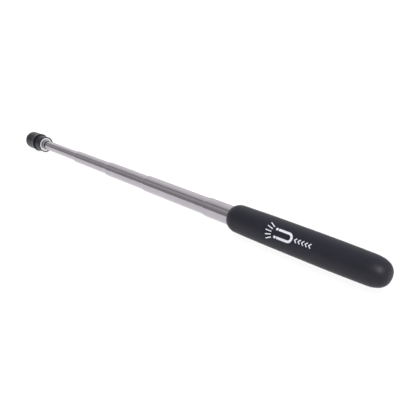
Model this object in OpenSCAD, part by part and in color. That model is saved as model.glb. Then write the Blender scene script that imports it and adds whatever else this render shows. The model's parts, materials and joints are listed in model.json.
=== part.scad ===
// Telescopic magnetic pick-up tool.
// It lies along X: the magnet faces -X, and the closed end of the grip is at +X.
// The origin is on the axis, in the middle of the grip's widest stretch.
// Section 1 is the thinnest and carries the magnet head. Section 5 is the base, held in the grip.

/* [Grip] */
// Radius of the widest stretch
grip_r = 9; // [8.8:0.1:9.6]
// Length of the widest stretch, where the radius stays the same
grip_wide_l = 24; // [10:1:40]
// Radius where the front shoulder ends and where the rear dome begins
grip_neck_r = 8.65; // [8.3:0.05:8.8]
// Distance from the origin to the front face
grip_front = 48.6; // [44:0.1:54]
// Radius of the flat rim around the base tube at the front face
grip_rim_r = 6.6; // [6.4:0.1:7]
// Half-length of the ellipse that rounds the front shoulder
shoulder_l = 7.7; // [6:0.1:10]
// Half-height of the ellipse that rounds the front shoulder
shoulder_h = 6; // [5:0.1:7]
// Distance from the origin to the start of the rear dome
dome_start = 42; // [36:0.5:44]
// Length of the rear dome
dome_l = 13.8; // [11:0.1:16]
// How square the dome is: 2 is an ellipse
dome_power = 2.75; // [2:0.05:3.5]

/* [Tubes] */
// Outside radius of section 1
tip_r = 3.7; // [3.55:0.05:3.75]
// Step in radius from section 1 to section 2
step_2 = 0.75; // [0.7:0.05:0.85]
// Step in radius from section 2 to section 3
step_3 = 0.65; // [0.6:0.05:0.75]
// Step in radius from section 3 to section 4
step_4 = 0.55; // [0.5:0.05:0.65]
// Step in radius from section 4 to the base
step_5 = 0.55; // [0.5:0.05:0.65]
// Wall thickness of every tube
wall = 0.35; // [0.3:0.01:0.38]
// Length of section 1 from its mouth to the back of the head
shown_1 = 43.3; // [10:0.1:70]
// Length of section 2 that shows
shown_2 = 40.2; // [10:0.1:75]
// Length of section 3 that shows
shown_3 = 42.6; // [10:0.1:85]
// Length of section 4 that shows
shown_4 = 58.3; // [10:0.1:90]
// Length of the base tube that shows in front of the grip
shown_5 = 21.8; // [15:0.1:30]
// Length of the swaged mouth that closes on the next section
mouth_l = 4; // [3:0.5:6]
// How far each mouth stands out of the next when the tool is pushed shut
stub = 2; // [1:0.5:4]

/* [Tail bushes] */
// Length of the spigot pressed into the tail of the tube
spigot_l = 3; // [2:0.5:5]
// Length of each of the two flanges
flange_l = 1.5; // [1:0.1:2.5]
// Length of the groove that holds the friction shims
groove_l = 3; // [2:0.5:5]
// Depth of the groove below the bore that the bush runs in
groove_depth = 0.5; // [0.4:0.05:0.6]
// Gap along one side between the two halves of the shims
shim_gap = 1.2; // [0.6:0.1:2]

/* [Magnet head] */
// Outside radius of the cap
cap_r = 6.75; // [6.6:0.05:6.9]
// Length of the cap
cap_l = 22.2; // [20:0.1:26]
// Radius of the raised rim in the middle of the cap
rim_r = 7.15; // [6.95:0.05:7.4]
// Distance from the back of the cap to the rim's rear face
rim_l = 8.5; // [6:0.1:10]
// Width of the rim's top
rim_w = 0.8; // [0.7:0.1:3]
// Length over which the cap flares up to the rim
flare_l = 2.5; // [1:0.1:4]
// Width of the groove behind the rim
rim_groove_w = 1.4; // [0.5:0.1:2]
// Radius at the bottom of that groove
rim_groove_r = 6; // [5.95:0.05:6.1]
// Radius of the cap's skirt, just behind the groove
skirt_r = 6.35; // [6.3:0.05:6.5]
// Radius of the skirt at its back edge
skirt_end_r = 6.2; // [6.1:0.05:6.3]
// Length of the rounding at the front of the cap
cap_round_l = 3; // [2:0.1:4]
// Height of the rounding at the front of the cap
cap_round_h = 2; // [1:0.1:2]
// Radius of the bright collar inside the skirt
collar_r = 5.6; // [5.5:0.05:5.65]
// How deep the collar's face sits inside the skirt
collar_sink = 0.4; // [0.2:0.1:1]
// Radius of the recess around section 1 in the collar's face
recess_r = 4.1; // [3.9:0.1:4.4]
// Depth of that recess
recess_l = 0.8; // [0.5:0.1:2]
// Radius of the magnet
magnet_r = 3.5; // [3:0.1:3.6]
// Wall of the ring that spaces the magnet from its steel cup
spacer_wall = 0.5; // [0.3:0.1:0.5]

/* [Hidden] */
$fn = 96;
base = 5;                    // number of the base section
run_gap = 0.05;              // radial running clearance of mouths and bushes
shim_clear = 0.04;           // radial and axial clearance of the shims
edge = 0.3;                  // small broken edges
lip = 0.15;                  // thickness of a swaged mouth at its very end
land_l = mouth_l / 2;        // straight stretch inside a mouth
tail_l = 2 * flange_l + groove_l;

// Outside and inside radius of section i, from 1 to 5
steps = [tip_r, step_2, step_3, step_4, step_5];
function tube_r(i) = i == 1 ? steps[0] : tube_r(i - 1) + steps[i - 1];
function bore_r(i) = tube_r(i) - wall;

// X of the mouth of section i. For section 1 it is the back of the head.
shown = [shown_1, shown_2, shown_3, shown_4, shown_5];
function mouth_x(i) = (i == base ? -grip_front : mouth_x(i + 1)) - shown[i - 1];

// Length of section i from its mouth to its tail, so that each one shuts onto a bush or the plug
plug_x = dome_start;         // front face of the base end plug
plug_l = 5;
plug_flange_l = 1.5;
function tube_l(i) = i == base - 1
    ? plug_x - mouth_x(base) + stub - tail_l
    : tube_l(i + 1) + stub - tail_l - spigot_l;
function tail_x(i) = mouth_x(i) + tube_l(i);

// Stations of the magnet head, counted along X from the back to the magnet's face
cap_back = mouth_x(1);
cap_front = cap_back - cap_l;
face_x = cap_front - edge;   // the magnet stands a little proud of the cap
collar_face = cap_back - collar_sink;
tube_seat = cap_back - 4;    // where section 1 stops inside the collar
cup_back = cap_back - 7;
cup_floor = cup_back - 1.5;
rivet_l = 1;
cup_nose_r = 4.6;            // radius of the cup where it passes through the cap's front
cup_nose_l = 1.5;
neck_r = 2;                  // thin part of the stud
rivet_r = 3;
collar_edge = 0.25;          // broken edges of the ring on the collar's face
rim_edge = 0.2;              // broken rear edge of the raised rim
skirt_edge = 0.2;            // rounding of the skirt's back edge

// A closed profile of [radius, x] points, turned about the X axis
module lathe(points) {
    rotate([0, 90, 0]) rotate_extrude() polygon(points);
}

// Points on a quarter of a superellipse from its side, 0 degrees, to its tip, 90 degrees
function quarter(cr, cx, h, l, power = 2, from = 0, to = 90, n = 20) =
    [for (k = [0:n]) let (a = from + (to - from) * k / n)
        [cr + h * pow(cos(a), 2 / power), cx + l * pow(sin(a), 2 / power)]];

function reversed(list) = [for (k = [len(list) - 1:-1:0]) list[k]];

// Soft sleeve over the base tube: rounded shoulder, slight barrel, blunt dome
module grip() {
    wide = grip_wide_l / 2;
    low = grip_neck_r - shoulder_h;
    rim_a = acos((grip_rim_r - low) / shoulder_h);
    shoulder_x = -grip_front + shoulder_l * sin(rim_a);
    shoulder = reversed(quarter(low, shoulder_x, shoulder_h, -shoulder_l, to = rim_a));
    drop = grip_r - grip_neck_r;
    swell = [for (k = [1:10]) let (t = k / 10)
        [grip_r - drop * pow(1 - t, 2), shoulder_x + (-wide - shoulder_x) * t]];
    fall = [for (k = [0:9]) let (t = k / 10)
        [grip_r - drop * pow(t, 2), wide + (dome_start - wide) * t]];
    dome = quarter(0, dome_start, grip_neck_r, dome_l, power = dome_power, n = 30);
    floor_x = plug_x + plug_l + plug_flange_l;
    color("#2b2c31")
    lathe(concat(
        [[0, floor_x], [tube_r(base), floor_x], [tube_r(base), -grip_front]],
        shoulder, swell, fall, dome));
}

// Thin tube of section i with its mouth swaged down onto section i - 1
module swaged_tube(i, length) {
    mouth = mouth_x(i);
    hole_r = tube_r(i - 1) + run_gap;
    nose = quarter(hole_r + lip, mouth + mouth_l, tube_r(i) - hole_r - lip, -mouth_l, n = 10);
    color("#c9c4c6")
    lathe(concat(
        [[hole_r, mouth], [hole_r, mouth + land_l], [bore_r(i), mouth + mouth_l],
            [bore_r(i), mouth + length], [tube_r(i), mouth + length]],
        nose));
}

module base_tube() {
    swaged_tube(base, plug_x + plug_l - mouth_x(base));
}

module base_end_plug() {
    back = plug_x + plug_l;
    color("#3a3a3c")
    lathe([[0, plug_x], [bore_r(base) - edge, plug_x], [bore_r(base), plug_x + edge],
        [bore_r(base), back], [tube_r(base), back],
        [tube_r(base), back + plug_flange_l], [0, back + plug_flange_l]]);
}

// Section 1 runs plain into the head's collar
module tip_tube() {
    color("#c9c4c6")
    lathe([[bore_r(1), tube_seat], [tip_r, tube_seat], [tip_r, tail_x(1)], [bore_r(1), tail_x(1)]]);
}

// Brass bush on the tail of section i. It runs in section i + 1 and carries the shims.
module tail_bush(i) {
    tail = tail_x(i);
    run_r = bore_r(i + 1) - run_gap;
    floor_r = bore_r(i + 1) - groove_depth;
    hole_r = bore_r(i) - 1;
    color("#c8a24a")
    lathe([[hole_r, tail - spigot_l], [bore_r(i), tail - spigot_l], [bore_r(i), tail],
        [run_r, tail], [run_r, tail + flange_l],
        [floor_r, tail + flange_l], [floor_r, tail + flange_l + groove_l],
        [run_r, tail + flange_l + groove_l], [run_r, tail + tail_l],
        [hole_r, tail + tail_l]]);
}

// Two spring half-shells in the groove of bush i, which drag on the bore of section i + 1
module friction_shims(i) {
    start = tail_x(i) + flange_l + shim_clear;
    length = groove_l - 2 * shim_clear;
    inner = bore_r(i + 1) - groove_depth + shim_clear;
    outer = bore_r(i + 1) - shim_clear;
    color("#d9b968")
    difference() {
        lathe([[inner, start], [outer, start], [outer, start + length], [inner, start + length]]);
        translate([start - 1, -shim_gap / 2, -outer - 1]) cube([length + 2, shim_gap, 2 * outer + 2]);
    }
}

// Turned stud: pressed into section 1, necked through the collar, riveted over inside the cup
module head_stud() {
    shank_back = cap_back + 4;
    color("#a8a8aa")
    lathe([[0, shank_back], [bore_r(1) - edge, shank_back], [bore_r(1), shank_back - edge],
        [bore_r(1), tube_seat], [neck_r, tube_seat], [neck_r, cup_floor], [rivet_r, cup_floor],
        [rivet_r, cup_floor - rivet_l + edge], [rivet_r - edge, cup_floor - rivet_l],
        [0, cup_floor - rivet_l]]);
}

// Bright collar, pressed into the cap. Its face is a flat ring around a recess.
module head_collar() {
    recess_x = collar_face - recess_l;
    rim_x = collar_face - collar_edge;
    color("#dedede")
    lathe([[neck_r, cup_back], [neck_r, tube_seat], [tip_r, tube_seat], [tip_r, recess_x],
        [recess_r, recess_x], [recess_r, rim_x], [recess_r + collar_edge, collar_face],
        [collar_r - collar_edge, collar_face], [collar_r, rim_x], [collar_r, cup_back]]);
}

// Steel cup that carries the magnet's field to its rim
module pole_cup() {
    inner = magnet_r + spacer_wall;
    step_x = cap_front + cup_nose_l;
    color("#b4b6b8")
    lathe([[neck_r, cup_back], [collar_r, cup_back], [collar_r, step_x], [cup_nose_r, step_x],
        [cup_nose_r, face_x + edge / 2], [cup_nose_r - edge / 2, face_x], [inner, face_x],
        [inner, cup_floor], [neck_r, cup_floor]]);
}

module spacer_ring() {
    color("#c8a24a")
    lathe([[magnet_r, face_x + edge], [magnet_r + spacer_wall, face_x + edge],
        [magnet_r + spacer_wall, cup_floor], [magnet_r, cup_floor]]);
}

module magnet() {
    back = cup_floor - rivet_l;
    color("#d2d3d6")
    lathe([[0, face_x], [magnet_r - edge, face_x], [magnet_r, face_x + edge],
        [magnet_r, back], [0, back]]);
}

// Black cap over the cup and the collar: flared to a raised rim, with a groove and a skirt behind it
module head_cap() {
    rim_x = cap_back - rim_l;
    flare_x = rim_x - rim_w;
    back = quarter(skirt_end_r - skirt_edge, cap_back - skirt_edge, skirt_edge, skirt_edge, n = 6);
    front = quarter(cap_r - cap_round_h, cap_front + cap_round_l, cap_round_h, -cap_round_l, n = 12);
    color("#303136")
    lathe(concat(
        [[cup_nose_r, cap_front], [cup_nose_r, cap_front + cup_nose_l],
            [collar_r, cap_front + cup_nose_l], [collar_r, collar_face - collar_edge]],
        reversed(back),
        [[skirt_r, rim_x + rim_groove_w + edge], [skirt_r - edge, rim_x + rim_groove_w],
            [rim_groove_r, rim_x + rim_groove_w], [rim_groove_r, rim_x],
            [rim_r - rim_edge, rim_x], [rim_r, rim_x - rim_edge], [rim_r, flare_x],
            [cap_r, flare_x - flare_l]],
        front));
}

grip();
base_tube();
base_end_plug();
swaged_tube(4, tube_l(4));  // tube_4
swaged_tube(3, tube_l(3));  // tube_3
swaged_tube(2, tube_l(2));  // tube_2
tip_tube();  // tube_1
tail_bush(4);  // tail_bush_4
tail_bush(3);  // tail_bush_3
tail_bush(2);  // tail_bush_2
tail_bush(1);  // tail_bush_1
friction_shims(4);  // friction_shims_4
friction_shims(3);  // friction_shims_3
friction_shims(2);  // friction_shims_2
friction_shims(1);  // friction_shims_1
head_stud();
head_collar();
pole_cup();
spacer_ring();
magnet();
head_cap();
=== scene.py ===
import json
import math
import bpy
import numpy as np
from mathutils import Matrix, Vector


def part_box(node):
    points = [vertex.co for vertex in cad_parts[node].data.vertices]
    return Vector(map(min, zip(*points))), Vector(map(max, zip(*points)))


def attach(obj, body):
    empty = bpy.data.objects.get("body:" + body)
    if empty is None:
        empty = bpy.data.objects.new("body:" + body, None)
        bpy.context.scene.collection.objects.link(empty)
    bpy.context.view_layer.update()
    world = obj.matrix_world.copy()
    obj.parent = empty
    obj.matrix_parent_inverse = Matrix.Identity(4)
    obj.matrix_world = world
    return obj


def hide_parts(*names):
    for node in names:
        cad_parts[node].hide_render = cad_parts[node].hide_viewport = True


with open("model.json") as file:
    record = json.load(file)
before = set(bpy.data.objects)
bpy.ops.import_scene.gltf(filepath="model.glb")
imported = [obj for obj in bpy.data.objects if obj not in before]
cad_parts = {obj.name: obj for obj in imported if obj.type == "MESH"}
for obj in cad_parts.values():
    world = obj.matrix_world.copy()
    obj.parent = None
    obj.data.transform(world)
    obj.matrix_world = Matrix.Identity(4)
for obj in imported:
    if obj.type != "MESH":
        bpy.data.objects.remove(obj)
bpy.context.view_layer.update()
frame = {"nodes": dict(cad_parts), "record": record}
mm = 0.001
finest = 0.02 * mm  # depth of the finest surface relief


# mesh tools: outlines are rows of x, radius and fillet in millimetres, and surfaces are grids of points

def plain(points):
    # points of a smooth curve, which need no fillet
    points = np.array(points, float)
    return np.column_stack([points, np.zeros(len(points))])


def quarter(cr, cx, h, l, power=2.0, start=0.0, end=90.0, count=20):
    # part of a superellipse around (cx, cr): length by sin, radius by cos, both to the power 2 / power
    a = np.radians(np.linspace(start, end, count + 1))
    c, s = np.cos(a).clip(0) ** (2 / power), np.sin(a) ** (2 / power)
    return np.stack([cx + l * s, cr + h * c], 1)


def line(x1, r1, x2, r2, count):
    # evenly spaced points of a straight stretch, both ends included
    t = np.linspace(0, 1, count)[:, None]
    return np.array([x1, r1]) * (1 - t) + np.array([x2, r2]) * t


def bend(corners, arcPoints=6, support=0.4):
    # The closed outline with its corners rounded. A fillet is a quadratic curve that starts and ends
    # one fillet length from its corner, and a support point beside each end keeps the flat stretch flat.
    c = np.array(corners, float)
    corner, fillet = c[:, :2], c[:, 2:3]
    ahead = np.roll(corner, -1, 0) - corner
    back = np.roll(corner, 1, 0) - corner
    ahead = ahead / np.maximum(np.linalg.norm(ahead, axis=1, keepdims=True), 1e-9)
    back = back / np.maximum(np.linalg.norm(back, axis=1, keepdims=True), 1e-9)
    start, end = corner + back * fillet, corner + ahead * fillet
    t = np.linspace(0, 1, arcPoints)[None, :, None]
    curve = (1 - t) ** 2 * start[:, None] + 2 * t * (1 - t) * corner[:, None] + t ** 2 * end[:, None]
    before = (start + back * fillet * support)[:, None]
    after = (end + ahead * fillet * support)[:, None]
    rounded = np.concatenate([before, curve, after], axis=1)
    return np.concatenate([rounded[i] if c[i, 2] > 0 else corner[i:i + 1] for i in range(len(c))])


def meshFromGrid(name, points, wrapRows=True, tips=()):
    # points[i, j] is step i of the outline at step j of the turn. A tip closes the first or last row
    # with a fan of triangles around a point on the axis.
    rows, cols = points.shape[:2]
    verts = points.reshape(-1, 3)
    i, j = np.meshgrid(np.arange(rows if wrapRows else rows - 1), np.arange(cols), indexing="ij")
    i, j = i.ravel(), j.ravel()
    i2, j2 = (i + 1) % rows, (j + 1) % cols
    corners = [np.stack([i * cols + j, i2 * cols + j, i2 * cols + j2, i * cols + j2], 1).ravel()]
    sizes = [np.full(len(i), 4)]
    k = np.arange(cols)
    k2 = (k + 1) % cols
    for row, tip in tips:
        n = np.full(cols, len(verts))
        verts = np.vstack([verts, tip])
        fan = [n, k, k2] if row == 0 else [n, row * cols + k2, row * cols + k]
        corners.append(np.stack(fan, 1).ravel())
        sizes.append(np.full(cols, 3))
    corners = np.concatenate(corners).astype(np.int32)
    sizes = np.concatenate(sizes).astype(np.int32)
    mesh = bpy.data.meshes.new(name)
    mesh.vertices.add(len(verts))
    mesh.vertices.foreach_set("co", verts.astype(np.float32).ravel())
    mesh.loops.add(len(corners))
    mesh.loops.foreach_set("vertex_index", corners)
    mesh.polygons.add(len(sizes))
    mesh.polygons.foreach_set("loop_start", np.concatenate([[0], np.cumsum(sizes)[:-1]]).astype(np.int32))
    mesh.polygons.foreach_set("use_smooth", np.ones(len(sizes), bool))
    mesh.update(calc_edges=True)
    mesh.validate()
    return mesh


def turned(outline, steps, ripple=None):
    # a solid of revolution about X: outline point (x, r) goes to (x, r cos a, r sin a), and ripple
    # gives a small height over the radius for each x and angle
    a = np.linspace(0, 2 * math.pi, steps, endpoint=False)[None, :]
    x, r = outline[:, :1], outline[:, 1:]
    if ripple is not None:
        r = r + ripple(x, a)
    x = np.broadcast_to(x, (len(outline), steps))
    return np.stack([x, r * np.cos(a), r * np.sin(a)], 2)


def facingOut(outline):
    # the outline in metres, running so that the turned faces point outwards: the area under it,
    # taken with its sign, tells which way it runs
    o = np.array(outline, float) * mm
    x2, r2 = np.roll(o, -1, 0).T
    area = ((x2 - o[:, 0]) * (o[:, 1] + r2)).sum()
    return o[::-1] if area > 0 else o


def addPiece(name, mesh, material, body, replaced=None):
    # a finished piece at the origin, which rides on a body and may stand for a CAD node
    piece = bpy.data.objects.new(name, mesh)
    bpy.context.scene.collection.objects.link(piece)
    mesh.materials.append(material)
    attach(piece, body)
    if replaced:
        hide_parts(replaced)
    return piece


def skin(nodeName, corners, steps, onAxis=False, ripple=None):
    # the finished surface of one turned CAD node. onAxis: the outline starts and ends on the axis.
    outline = facingOut(bend(corners))
    name = nodeName + "_skin"
    if onAxis:
        lastRow = len(outline) - 3  # the two points on the axis are no rows of the grid
        tips = [(0, (outline[0, 0], 0, 0)), (lastRow, (outline[-1, 0], 0, 0))]
        mesh = meshFromGrid(name, turned(outline[1:-1], steps, ripple), False, tips)
    else:
        mesh = meshFromGrid(name, turned(outline, steps, ripple))
    slot = slotOf[nodeName]
    return addPiece(name, mesh, bySlot[slot], bodyOf[nodeName], nodeName)


# material tools

def newMaterial(name):
    # an empty material with one shader
    m = bpy.data.materials.new(name)
    m.use_nodes = True
    m.node_tree.nodes.clear()
    out = m.node_tree.nodes.new("ShaderNodeOutputMaterial")
    shader = m.node_tree.nodes.new("ShaderNodeBsdfPrincipled")
    m.node_tree.links.new(shader.outputs[0], out.inputs["Surface"])
    return m, shader


def add(tree, kind, inputs=None, **settings):
    # one node: a socket given as an input is linked, and anything else becomes its value
    n = tree.nodes.new("ShaderNode" + kind)
    for key, value in settings.items():
        setattr(n, key, value)
    for key, value in (inputs or {}).items():
        if isinstance(value, bpy.types.NodeSocket):
            tree.links.new(value, n.inputs[key])
        else:
            n.inputs[key].default_value = value
    return n


def place(m, scale=(1, 1, 1)):
    # the place on the tool in metres, times a scale for each direction
    at = add(m.node_tree, "TexCoord")
    return add(m.node_tree, "Mapping", {"Vector": at.outputs["Object"], "Scale": scale}).outputs[0]


def noise(m, where, scale, detail=3.0, rough=0.5):
    inputs = {"Vector": where, "Scale": scale, "Detail": detail, "Roughness": rough}
    return add(m.node_tree, "TexNoise", inputs).outputs["Fac"]


def spread(m, value, low, high, fromLow=0.3, fromHigh=0.7):
    return add(m.node_tree, "MapRange", {0: value, 1: fromLow, 2: fromHigh, 3: low, 4: high}).outputs[0]


def total(m, a, b):
    return add(m.node_tree, "Math", {0: a, 1: b}, operation="ADD").outputs[0]


def tint(m, fac, a, b):
    return add(m.node_tree, "Mix", {0: fac, 6: (*a, 1), 7: (*b, 1)}, data_type="RGBA").outputs[2]


def bump(m, height, strength, distance, after=None):
    inputs = {"Height": height, "Strength": strength, "Distance": distance}
    if after is not None:
        inputs["Normal"] = after
    return add(m.node_tree, "Bump", inputs).outputs[0]


def finish(m, shader, color, rough, normal, **fixed):
    # links what varies over the surface, and sets what is the same all over it
    for key, socket in (("Base Color", color), ("Roughness", rough), ("Normal", normal)):
        m.node_tree.links.new(socket, shader.inputs[key])
    for key, value in fixed.items():
        shader.inputs[key.replace("_", " ")].default_value = value
    return m


# camera

camera = {"azimuth": 43.3, "elevation": 24.35, "distance": 0.3676, "lens": 50.0, "near": 0.01, "far": 50,
          "onAxis": -0.0675, "right": -0.00046, "up": -0.00133}


def aimCamera(c):
    # it looks at a point on the tool's axis, and right and up then slide it without turning it
    az, el = math.radians(c["azimuth"]), math.radians(c["elevation"])
    toCamera = np.array([math.sin(az) * math.cos(el), -math.cos(az) * math.cos(el), math.sin(el)])
    right = np.array([math.cos(az), math.sin(az), 0])
    up = np.cross(toCamera, right)
    spot = np.array([c["onAxis"], 0, 0]) + toCamera * c["distance"] + right * c["right"] + up * c["up"]
    data = bpy.data.cameras.new("camera")
    data.lens = c["lens"]
    data.clip_start = c["near"]
    data.clip_end = c["far"]
    cam = bpy.data.objects.new("camera", data)
    cam.location = spot
    cam.rotation_euler = (math.pi / 2 - el, 0, az)
    bpy.context.scene.collection.objects.link(cam)
    bpy.context.scene.camera = cam


aimCamera(camera)
print("camera placed")


# finishes: a single scale is in features per metre, and three of them stretch a pattern along X, Y and Z

steel = {"dark": (0.447, 0.418, 0.455), "light": (0.482, 0.45, 0.489), "lines": (25, 2600, 2600),
         "clouds": 110.0, "rubs": (700, 40, 40), "rough": (0.06, 0.11), "rubbed": 0.05, "depth": 0.06}


def makeTubeSteel(f=steel):
    # drawn and nickel plated: fine lengthwise draw lines, soft cloudiness, faint rings rubbed by the bushes
    m, shader = newMaterial("tubeSteel")
    lines = noise(m, place(m, f["lines"]), 1.0, 4.0, 0.6)
    clouds = noise(m, place(m), f["clouds"], 3.0)
    rubs = noise(m, place(m, f["rubs"]), 1.0, 5.0, 0.7)
    rough = total(m, spread(m, lines, *f["rough"]), spread(m, rubs, 0, f["rubbed"], 0.5, 0.8))
    color = tint(m, spread(m, clouds, 0, 1), f["dark"], f["light"])
    return finish(m, shader, color, rough, bump(m, lines, f["depth"], finest), Metallic=1)


chrome = {"dark": (0.78, 0.775, 0.79), "light": (0.85, 0.845, 0.85), "clouds": 300.0, "grain": 1800.0,
          "rough": (0.10, 0.18), "depth": 0.05}


def makeChrome(f=chrome):
    # bright plating with a slight haze
    m, shader = newMaterial("collarChrome")
    clouds = noise(m, place(m), f["clouds"], 3.0)
    color = tint(m, spread(m, clouds, 0, 1), f["dark"], f["light"])
    normal = bump(m, noise(m, place(m), f["grain"]), f["depth"], finest)
    return finish(m, shader, color, spread(m, clouds, *f["rough"]), normal, Metallic=1)


rubber = {"dark": (0.011, 0.011, 0.018), "light": (0.0145, 0.0145, 0.0235), "grain": 2600.0,
          "cells": 1500.0, "mottle": 90.0, "rough": (0.44, 0.56), "shine": 0.28,
          "grainDepth": (0.4, 0.00006), "cellDepth": (0.35, 0.00008)}


def makeGripRubber(f=rubber):
    # soft-touch foam rubber: closed-cell grain, faint mottling, little shine
    m, shader = newMaterial("gripRubber")
    grain = noise(m, place(m), f["grain"], 2.0, 0.6)
    cells = add(m.node_tree, "TexVoronoi", {"Vector": place(m), "Scale": f["cells"]}).outputs["Distance"]
    mottle = noise(m, place(m), f["mottle"], 4.0, 0.6)
    color = tint(m, spread(m, mottle, 0, 1), f["dark"], f["light"])
    normal = bump(m, grain, *f["grainDepth"], bump(m, cells, *f["cellDepth"]))
    return finish(m, shader, color, spread(m, grain, *f["rough"]), normal, Specular_IOR_Level=f["shine"])


satin = {"dark": (0.009, 0.009, 0.014), "scuffed": (0.021, 0.021, 0.030), "rings": (3000, 60, 60),
         "scuffs": 500.0, "rough": (0.32, 0.44), "shine": 0.42, "depth": (0.15, 0.00003)}


def makeCapBlack(f=satin):
    # black satin cap: fine turning marks around it, and paler scuffs
    m, shader = newMaterial("capBlack")
    rings = noise(m, place(m, f["rings"]), 1.0, 3.0, 0.6)
    scuffs = noise(m, place(m), f["scuffs"], 5.0, 0.7)
    color = tint(m, spread(m, scuffs, 0, 1, 0.45, 0.75), f["dark"], f["scuffed"])
    normal = bump(m, rings, *f["depth"])
    return finish(m, shader, color, spread(m, scuffs, *f["rough"]), normal, Specular_IOR_Level=f["shine"])


# each turned metal: its name, darker and lighter colour, and lowest roughness
turnedMetals = {"plain_steel": ("plainSteel", (0.46, 0.46, 0.47), (0.56, 0.56, 0.57), 0.25),
                "bush_brass": ("bushBrass", (0.62, 0.43, 0.17), (0.74, 0.54, 0.25), 0.22),
                "shim_bronze": ("shimBronze", (0.66, 0.46, 0.24), (0.75, 0.56, 0.32), 0.3),
                "magnet_nickel": ("magnetNickel", (0.62, 0.61, 0.6), (0.7, 0.69, 0.67), 0.18)}
lathe = {"rings": (5000, 90, 90), "clouds": 260.0, "roughSpan": 0.14, "depth": 0.2}


def makeTurnedMetal(name, dark, light, rough, f=lathe):
    # a lathe-turned metal: fine rings about X
    m, shader = newMaterial(name)
    rings = noise(m, place(m, f["rings"]), 1.0, 3.0, 0.6)
    color = tint(m, spread(m, noise(m, place(m), f["clouds"]), 0, 1), dark, light)
    dull = spread(m, rings, rough, rough + f["roughSpan"])
    return finish(m, shader, color, dull, bump(m, rings, f["depth"], finest), Metallic=1)


plugFinish = {"dark": (0.032, 0.032, 0.034), "light": (0.045, 0.045, 0.047), "grain": 1400.0,
              "rough": (0.5, 0.65), "depth": (0.2, 0.00003)}


def makePlugPlastic(f=plugFinish):
    # moulded plastic with a fine sparked grain
    m, shader = newMaterial("plugPlastic")
    grain = noise(m, place(m), f["grain"])
    color = tint(m, spread(m, grain, 0, 1), f["dark"], f["light"])
    return finish(m, shader, color, spread(m, grain, *f["rough"]), bump(m, grain, *f["depth"]))


ink = {"worn": (0.52, 0.54, 0.6), "white": (0.80, 0.82, 0.88), "wear": 3200.0, "rough": (0.4, 0.55),
       "depth": 0.2}


def makeInk(f=ink):
    # white pad-printing ink: thin, slightly uneven, greyer where the rubber's grain shows through
    m, shader = newMaterial("printInk")
    wear = noise(m, place(m), f["wear"], 4.0, 0.7)
    color = tint(m, spread(m, wear, 0, 1, 0.35, 0.5), f["worn"], f["white"])
    return finish(m, shader, color, spread(m, wear, *f["rough"]), bump(m, wear, f["depth"], finest))


bySlot = {"tube_steel": makeTubeSteel(), "collar_chrome": makeChrome(), "grip_rubber": makeGripRubber(),
          "cap_black": makeCapBlack(), "plug_plastic": makePlugPlastic()}
bySlot.update({slot: makeTurnedMetal(*values) for slot, values in turnedMetals.items()})
printInk = makeInk()
slotOf = {s["node"]: s["material_slot"] for s in frame["record"]["subparts"]}
bodyOf = {n: b for b, nodes in frame["record"]["behaviour"]["bodies"].items() for n in nodes}
for name, obj in frame["nodes"].items():
    obj.data.materials.clear()
    obj.data.materials.append(bySlot[slotOf[name]])
print("finishes made")


def span(nodeName):
    # a turned node's first and last x and its largest radius, in mm
    lo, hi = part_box(nodeName)
    return lo.x / mm, hi.x / mm, hi.z / mm


# grip: rounded shoulder, long slight barrel, blunt dome

grip = {"neckR": 8.65, "rimR": 6.6, "shoulderL": 7.7, "shoulderH": 6.0, "wideHalf": 12.0, "domeStart": 42.0,
        "domePower": 2.75, "boreR": 6.2, "boreEnd": 48.5, "boreFillet": 0.3, "rimFillet": 0.12,
        "shoulderRows": 26, "barrelRows": 230, "domeRows": 64, "steps": 224, "sink": 0.028, "swell": 0.006}


def shoulderEnd(g=grip):
    # x where the shoulder's ellipse reaches the neck radius, and the ellipse's turn at the rim
    lift = (g["rimR"] - g["neckR"] + g["shoulderH"]) / g["shoulderH"]
    return span("grip")[0] + g["shoulderL"] * math.sqrt(1 - lift ** 2), math.degrees(math.acos(lift))


def gripRadius(x, g=grip):
    # outer radius along the barrel: level in the middle, falling by the square of the way to each end
    wideR = span("grip")[2]
    before = ((-g["wideHalf"] - x) / (-g["wideHalf"] - shoulderEnd()[0])).clip(0)
    after = ((x - g["wideHalf"]) / (g["domeStart"] - g["wideHalf"])).clip(0)
    return wideR - (wideR - g["neckR"]) * (before ** 2 + after ** 2)


def makeGrip(g=grip):
    # the outline: bore, a part of an ellipse for the shoulder, the barrel, and a superellipse for the dome
    front, back = span("grip")[:2]
    neckX, turn = shoulderEnd()
    shoulder = quarter(g["neckR"] - g["shoulderH"], neckX, g["shoulderH"], -g["shoulderL"],
                       end=turn, count=g["shoulderRows"])
    x = np.linspace(neckX, g["domeStart"], g["barrelRows"])[1:-1]
    barrel = np.stack([x, gripRadius(x)], 1)
    dome = quarter(0, g["domeStart"], g["neckR"], back - g["domeStart"], g["domePower"],
                   count=g["domeRows"])
    bore = [[g["boreEnd"], 0, 0], [g["boreEnd"], g["boreR"], g["boreFillet"]],
            [front, g["boreR"], g["rimFillet"]]]

    def unevenness(x, a):
        # two slow waves, three and five to a turn, a few hundredths of a millimetre, always inwards
        wave = np.sin(3 * a + 90 * x) * np.sin(140 * x + 1.3) + 0.6 * np.sin(5 * a - 210 * x + 0.7)
        return -mm * (g["sink"] + g["swell"] * wave)

    corners = np.concatenate([bore, plain(shoulder[::-1]), plain(barrel), plain(dome)])
    return skin("grip", corners, g["steps"], onAxis=True, ripple=unevenness)


gripSkin = makeGrip()
print("grip made")


# print on the grip: a plain horseshoe magnet with rays in front of its poles, then a row of arrowheads

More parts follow.
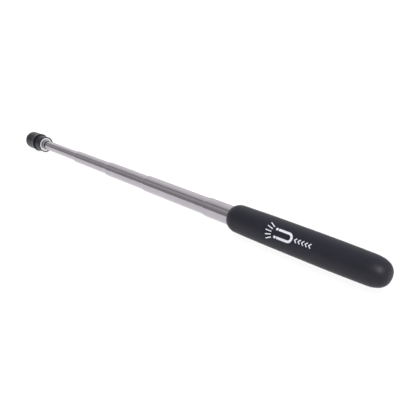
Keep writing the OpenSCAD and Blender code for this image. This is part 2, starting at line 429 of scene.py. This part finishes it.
mark = {"turn": 31.5, "top": -0.002, "bottom": -0.06, "across": 9, "magnetX": -11.4, "magnetL": 9.0,
        "halfH": 2.38, "stroke": 0.72, "poleL": 1.5, "poleGap": 0.45, "bowSteps": 32, "bowGap": 0.2,
        "rayFrom": 6.6, "rayTo": 10.6, "rayTurns": (-28, -14, 0, 14, 28), "rayCenter": -7.1,
        "rayStroke": 0.3, "arrowX": 2.2, "arrowStep": 2.3, "arrows": 5, "arrowL": 1.3, "arrowH": 1.25,
        "arrowStroke": 0.3}


def inkStroke(path, stroke, p=mark):
    # A flat closed ribbon along a path of (x, arc length) on the unrolled grip. Its cross-section goes
    # over the top and back below the rubber, and each point is rolled on to the barrel's radius.
    path = np.array(path, float)
    ahead = np.gradient(path, axis=0)
    ahead /= np.linalg.norm(ahead, axis=1, keepdims=True)
    side = np.stack([-ahead[:, 1], ahead[:, 0]], 1)
    offset = np.linspace(-stroke, stroke, p["across"])
    offset = np.concatenate([offset, offset[::-1]])
    height = np.repeat([p["top"], p["bottom"]], p["across"])
    flat = path[:, None] + side[:, None] * offset[None, :, None]
    r = gripRadius(flat[..., 0]) + height
    a = math.radians(p["turn"]) + flat[..., 1] / r
    return np.stack([flat[..., 0], -r * np.cos(a), r * np.sin(a)], 2) * mm


def inkMesh(strokes):
    # all ribbons in one mesh: quads along each, and one flat face at each end
    verts, faces = [], []
    for grid in strokes:
        rows, cols = grid.shape[:2]
        base = sum(len(v) for v in verts)
        i, j = [k.ravel() for k in np.meshgrid(np.arange(rows - 1), np.arange(cols), indexing="ij")]
        j2 = (j + 1) % cols
        quads = np.stack([i * cols + j, (i + 1) * cols + j, (i + 1) * cols + j2, i * cols + j2], 1) + base
        verts.append(grid.reshape(-1, 3))
        faces += quads.tolist()
        last = base + (rows - 1) * cols
        faces += [list(range(base, base + cols)), list(range(last + cols - 1, last - 1, -1))]
    mesh = bpy.data.meshes.new("grip_print")
    mesh.from_pydata(np.concatenate(verts).tolist(), [], faces)
    mesh.update()
    return mesh


def makePrint(p=mark):
    # centre lines on the unrolled grip, each with half the width of its stroke
    h, x0 = p["halfH"], p["magnetX"]
    bendX = x0 + p["magnetL"]
    legX, legEnd = x0 + p["poleL"] + p["poleGap"], bendX - p["bowGap"]
    turn = np.radians(np.linspace(90, -90, p["bowSteps"] + 1))
    bow = np.stack([bendX + h * np.cos(turn), h * np.sin(turn)], 1)
    horseshoe = np.concatenate([line(legX, h, legEnd, h, 12), bow, line(legEnd, -h, legX, -h, 12)])
    paths = [(horseshoe, p["stroke"])]
    paths += [(line(x0, s * h, x0 + p["poleL"], s * h, 6), p["stroke"]) for s in (-1, 1)]
    for degrees in p["rayTurns"]:
        away = np.array([-math.cos(math.radians(degrees)), math.sin(math.radians(degrees))])
        start, end = away * p["rayFrom"], away * p["rayTo"]
        ray = line(p["rayCenter"] + start[0], start[1], p["rayCenter"] + end[0], end[1], 10)
        paths.append((ray, p["rayStroke"]))
    for k in range(p["arrows"]):
        tip = p["arrowX"] + k * p["arrowStep"]
        back = tip + p["arrowL"]
        arms = np.concatenate([line(back, p["arrowH"], tip, 0, 9), line(tip, 0, back, -p["arrowH"], 9)[1:]])
        paths.append((arms, p["arrowStroke"]))
    mesh = inkMesh([inkStroke(path, stroke) for path, stroke in paths])
    addPiece("grip_print", mesh, printInk, bodyOf["grip"])


makePrint()
print("print made")


# tubes: plain outside, with a mouth swaged down onto the next tube

tube = {"wall": 0.35, "mouthL": 4.0, "landL": 2.0, "lip": 0.15, "gap": 0.05, "edge": 0.08,
        "boreFillet": 0.1, "noseEnd": 0.04, "steps": 144}


def tubeOutside(mouth, tail, r, rows=24):
    # the plain outside, which stops a millimetre before each end
    return plain(line(tail - 1, r, mouth + 1, r, rows))


def makeTube(nodeName, inner, t=tube):
    # the outline: bore, tail, plain outside, a quarter ellipse down to the hole, and a half-round lip
    mouth, tail, r = span(nodeName)
    holeR = span(inner)[2] + t["gap"]
    lipR = holeR + t["lip"]
    nose = quarter(lipR, mouth + t["mouthL"], r - lipR, -t["mouthL"], count=22)
    nose = nose[nose[:, 0] > mouth + t["noseEnd"]]  # the lip takes over from here
    half = t["lip"] / 2
    turn = np.radians(np.linspace(110, 270, 9))
    lip = np.stack([mouth + half + half * np.cos(turn), holeR + half + half * np.sin(turn)], 1)
    bore = [[mouth + t["landL"], holeR, t["boreFillet"]],
            [mouth + t["mouthL"], r - t["wall"], t["boreFillet"]],
            [tail, r - t["wall"], t["edge"]], [tail, r, t["edge"]]]
    outside = tubeOutside(mouth + t["mouthL"], tail, r)
    skin(nodeName, np.concatenate([bore, outside, plain(nose), plain(lip)]), t["steps"])


def makeTipTube(t=tube):
    # the thinnest section is a plain pipe, since the head holds its end
    seat, tail, r = span("tube_1")
    ends = [[seat, r, t["edge"]], [seat, r - t["wall"], t["edge"]], [tail, r - t["wall"], t["edge"]],
            [tail, r, t["edge"]]]
    skin("tube_1", np.concatenate([tubeOutside(seat, tail, r), ends]), t["steps"])


nested = ("base_tube", "tube_4", "tube_3", "tube_2", "tube_1")
for outer, inner in zip(nested, nested[1:]):
    makeTube(outer, inner)
makeTipTube()
print("tubes made")


# magnet head

head = {"capR": 6.75, "rimL": 8.5, "rimW": 0.8, "flareL": 2.5, "grooveW": 1.4, "grooveR": 6.0,
        "skirtR": 6.35, "skirtEndR": 6.2, "roundL": 3.0, "roundH": 2.0, "noseR": 4.6, "noseL": 1.5,
        "chamfer": 0.7, "collarCrown": 0.4, "recessR": 4.1, "recessL": 0.8, "neckR": 2.0, "cupR": 4.0,
        "cupFloor": 1.5, "magnetR": 3.5, "dimple": 0.02, "gap": 0.01, "fine": 0.05, "soft": 0.1,
        "steps": 192}


def makeCap(h=head):
    # the outline: bore, skirt, groove, rim, flare, straight sleeve, and a quarter ellipse round the front
    front, back, rimR = span("head_cap")
    innerR = span("head_collar")[2]
    rimX = back - h["rimL"]
    grooveX = rimX + h["grooveW"]
    flareX = rimX - h["rimW"]
    inside = [[front, h["noseR"], 0.08], [front + h["noseL"], h["noseR"], h["fine"]],
              [front + h["noseL"], innerR, h["fine"]], [back - h["chamfer"], innerR, h["soft"]]]
    outside = [[back, h["skirtEndR"] - 0.25, 0.06], [back, h["skirtEndR"], 0.2],
               [grooveX, h["skirtR"], 0.28], [grooveX, h["grooveR"], 0.12],
               [rimX, h["grooveR"], 0.12], [rimX, rimR, 0.22],
               [flareX, rimR, 0.4], [flareX - h["flareL"], h["capR"], 1.0]]
    sleeve = line(flareX - h["flareL"] - 2, h["capR"], front + h["roundL"] + 0.6, h["capR"], 8)
    nose = quarter(h["capR"] - h["roundH"], front + h["roundL"], h["roundH"], -h["roundL"], count=24)
    skin("head_cap", np.concatenate([inside, outside, plain(sleeve), plain(nose)]), h["steps"])


def makeCollar(h=head):
    # the outline: a half ellipse across the end that faces the tube, then recess, bore and front
    front, back, r = span("head_collar")
    seat = span("tube_1")[0]
    boreR, outerR = span("tube_1")[2] + h["gap"], r - h["gap"]
    crown, recessX = h["collarCrown"], back - h["recessL"]
    middle, half = (outerR + h["recessR"]) / 2, (outerR - h["recessR"]) / 2
    turn = np.radians(np.linspace(0, 180, 31))
    crowned = np.stack([back - crown + crown * np.sin(turn), middle + half * np.cos(turn)], 1)
    inside = [[recessX, h["recessR"], h["soft"]], [recessX, boreR, 0.06], [seat, boreR, h["fine"]],
              [seat, h["neckR"], h["fine"]], [front, h["neckR"], h["soft"]], [front, outerR, h["soft"]]]
    skin("head_collar", np.concatenate([plain(crowned), inside]), h["steps"])


def makeFront(h=head):
    # what shows in the cap's mouth: the cup's rim, the brass ring and the magnet's face
    soft, fine = h["soft"], h["fine"]
    face, back, r = span("pole_cup")
    outerR, mouthR = r - h["gap"], h["noseR"] - h["gap"]
    floorX = back - h["cupFloor"]
    shoulderX = span("head_cap")[0] + h["noseL"]
    skin("pole_cup", [[back, h["neckR"], soft], [back, outerR, soft], [shoulderX, outerR, fine],
                      [shoulderX, mouthR, fine], [face, mouthR, 0.18], [face, h["cupR"], soft],
                      [floorX, h["cupR"], soft], [floorX, h["neckR"], soft]], h["steps"])
    start, end, r = span("spacer_ring")
    skin("spacer_ring", [[start, h["magnetR"], soft], [start, r, soft], [end, r, soft],
                         [end, h["magnetR"], soft]], h["steps"])
    start, end, r = span("magnet")
    dimple = line(start + h["dimple"], 0, start, r * 0.8, 6)
    rim = [[start, r, 0.35], [end, r, 0.2], [end, 0, 0]]
    skin("magnet", np.concatenate([plain(dimple), rim]), h["steps"], onAxis=True)


makeCap()
makeCollar()
makeFront()
print("head made")


# floor and light

def restingPlane():
    # the plane that the grip and the rim of the cap both touch: z = level + slope * x
    back, rimR = span("head_cap")[1:]
    rimX = back - head["rimL"]
    x = np.linspace(shoulderEnd()[0], grip["domeStart"], 400)
    slope = ((rimR - gripRadius(x)) / (x - rimX)).min()
    return (-rimR - slope * rimX) * mm, slope


floorPaint = {"half": 12.0, "white": (0.9, 0.9, 0.9, 1), "rough": 0.9, "shine": 0.1}


def makeFloor(f=floorPaint):
    # one flat sheet in the resting plane, metres across
    level, slope = restingPlane()
    half = f["half"]
    corners = [(-half, -half), (half, -half), (half, half), (-half, half)]
    mesh = bpy.data.meshes.new("floor")
    mesh.from_pydata([(x, y, level + slope * x) for x, y in corners], [], [(0, 1, 2, 3)])
    floor = bpy.data.objects.new("floor", mesh)
    bpy.context.scene.collection.objects.link(floor)
    m, shader = newMaterial("floorPaint")
    shader.inputs["Base Color"].default_value = f["white"]
    shader.inputs["Roughness"].default_value = f["rough"]
    shader.inputs["Specular IOR Level"].default_value = f["shine"]
    mesh.materials.append(m)


# brightness of the light tent by the angle up from -Y, over the top, to +Y
tent = [(0, 0.36), (10, 0.32), (18, 0.30), (32, 0.34), (42, 0.44), (52, 0.51), (60, 0.50), (66, 0.40),
        (72, 0.20), (78, 0.36), (82, 0.50), (88, 0.62), (104, 0.78), (121, 0.87), (142, 0.94),
        (157, 0.95), (165, 0.55), (172, 0.38), (180, 0.42)]
studio = {"tent": 1.13, "fill": 0.2, "backdrop": 1.0, "card": 1.3, "cardFrom": 0.7, "cardTo": 0.92,
          "overhead": 3.1, "overheadAngle": 2.6, "sheen": 78.0, "sheenSize": 0.7, "sheenAway": 3.0,
          "sheenToward": (0.49, -0.47, 0.735)}


def makeWorld(stops=tent, w=studio):
    # reflections see a light tent that runs along X, darker on the viewer's side, with a white card past
    # the grip's end; matt surfaces get an even fill, and straight views see plain white
    world = bpy.data.worlds.new("studio")
    world.use_nodes = True
    bpy.context.scene.world = world
    tree = world.node_tree
    tree.nodes.clear()
    parts = add(tree, "SeparateXYZ", {0: add(tree, "TexCoord").outputs["Generated"]}).outputs
    front = add(tree, "Math", {0: parts[1], 1: -1.0}, operation="MULTIPLY").outputs[0]
    angle = add(tree, "Math", {0: parts[2], 1: front}, operation="ARCTAN2").outputs[0]
    turn = add(tree, "MapRange", {0: angle, 1: 0.0, 2: math.pi, 3: 0.0, 4: 1.0}).outputs[0]
    ramp = add(tree, "ValToRGB", {0: turn})
    band = ramp.color_ramp
    for k, (degrees, value) in enumerate(stops):
        element = band.elements[0] if k == 0 else band.elements.new(degrees / 180)
        element.color = (value, value, value, 1)
    band.elements.remove(band.elements[-1])  # the ramp's own white end
    sides = add(tree, "Background", {"Color": ramp.outputs[0], "Strength": w["tent"]}).outputs[0]
    card = add(tree, "Background", {"Color": (1, 1, 1, 1), "Strength": w["card"]}).outputs[0]
    past = add(tree, "MapRange", {0: parts[0], 1: w["cardFrom"], 2: w["cardTo"], 3: 0.0, 4: 1.0}).outputs[0]
    around = add(tree, "MixShader", {0: past, 1: sides, 2: card}).outputs[0]
    even = add(tree, "Background", {"Color": (1, 1, 1, 1), "Strength": w["fill"]}).outputs[0]
    white = add(tree, "Background", {"Color": (1, 1, 1, 1), "Strength": w["backdrop"]}).outputs[0]
    path = add(tree, "LightPath").outputs
    lit = add(tree, "MixShader", {0: path["Is Glossy Ray"], 1: even, 2: around}).outputs[0]
    seen = add(tree, "MixShader", {0: path["Is Camera Ray"], 1: lit, 2: white}).outputs[0]
    add(tree, "OutputWorld", {"Surface": seen})


def addOverhead(w=studio):
    # a wide light straight above for the matt surfaces only. It casts no shadow, as in a light tent.
    light = bpy.data.lights.new("overhead", "SUN")
    light.energy = w["overhead"]
    light.angle = w["overheadAngle"]
    light.use_shadow = False
    light.cycles.use_multiple_importance_sampling = False
    lamp = bpy.data.objects.new("overhead", light)
    lamp.location = (0, 0, 2)
    lamp.visible_glossy = False
    lamp.visible_camera = False
    bpy.context.scene.collection.objects.link(lamp)


def addSheen(receiver, w=studio):
    # a soft light over the grip's closed end. Only the rubber receives it, and only in its sheen.
    light = bpy.data.lights.new("sheen", "AREA")
    light.shape = "DISK"
    light.energy = w["sheen"]
    light.size = w["sheenSize"]
    light.use_shadow = False
    lamp = bpy.data.objects.new("sheen", light)
    toward = Vector(w["sheenToward"]).normalized()
    lamp.location = toward * w["sheenAway"]
    lamp.rotation_euler = toward.to_track_quat("Z", "Y").to_euler()
    lamp.visible_diffuse = False
    lamp.visible_camera = False
    received = bpy.data.collections.new("sheenReceiver")
    received.objects.link(receiver)
    lamp.light_linking.receiver_collection = received
    bpy.context.scene.collection.objects.link(lamp)


makeFloor()
makeWorld()
addOverhead()
addSheen(gripSkin)
bpy.context.scene.view_settings.view_transform = "Standard"
print("studio lit")
